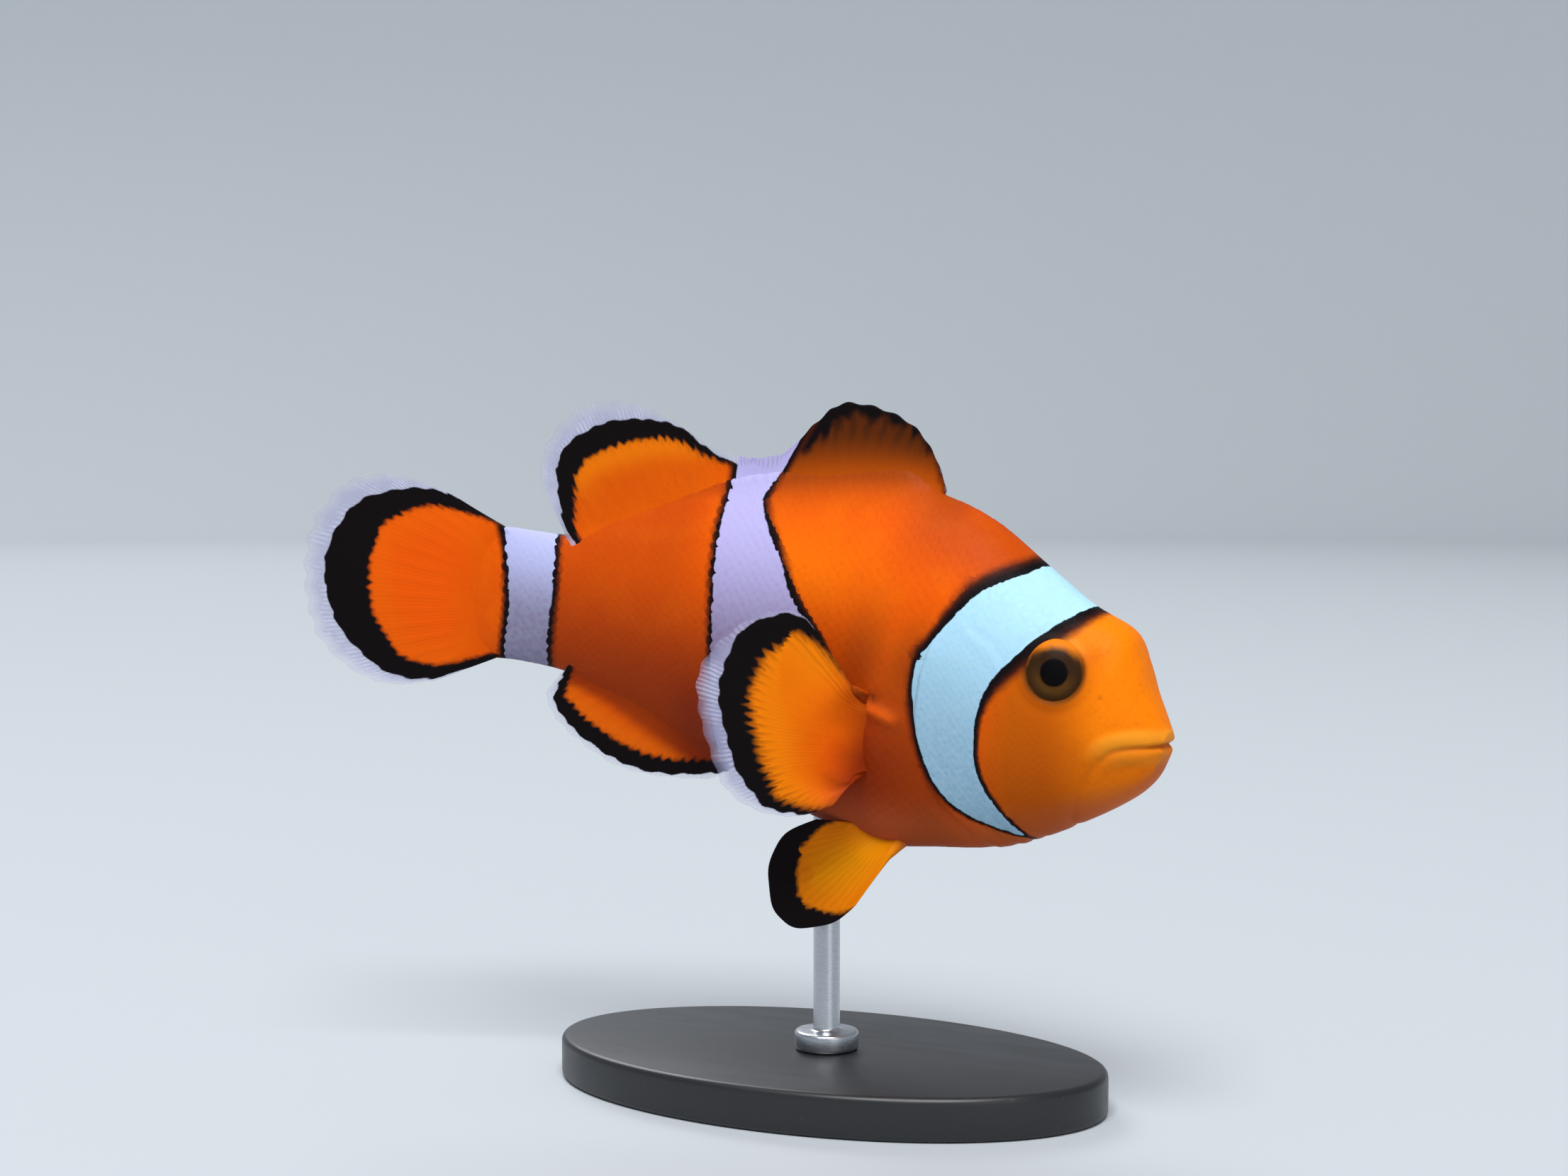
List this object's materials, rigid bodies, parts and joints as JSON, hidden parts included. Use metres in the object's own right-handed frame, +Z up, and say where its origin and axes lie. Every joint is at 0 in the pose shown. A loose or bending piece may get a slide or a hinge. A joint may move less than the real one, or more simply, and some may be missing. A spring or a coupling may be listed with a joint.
{
  "type": "clownfish",
  "caption": "Life-size still model of an adult clownfish with spread fins, swimming nose-down, held up by one slim rod on a flat oval base.",
  "frame": {"origin": "centre of the underside of the stand's base", "axes": "+Z up, +X towards the fish's head along the straight part of its body, -Y out of its right side"},
  "size_m": [0.0843, 0.032, 0.0647],
  "materials": {
    "skin": "satin orange skin with three white bands edged in black, under small scales",
    "fin": "satin orange fin webs with black margins and clear edges",
    "eye": "glossy, dark brown iris round a black pupil",
    "base": "satin black",
    "rod": "brushed"
  },
  "bodies": {
    "root": {"head": "skin", "lower_jaw": "skin", "gill_cover_right": "skin", "gill_cover_left": "skin", "trunk": "skin", "tail_stem": "skin", "eye_right": "eye", "eye_left": "eye", "dorsal_fin_spiny": "fin", "dorsal_fin_soft": "fin", "anal_fin": "fin", "caudal_fin": "fin", "pectoral_fin_right": "fin", "pectoral_fin_left": "fin", "pelvic_fin_right": "fin", "pelvic_fin_left": "fin", "stand_base": "base", "stand_rod": "rod"}
  },
  "joints": []
}
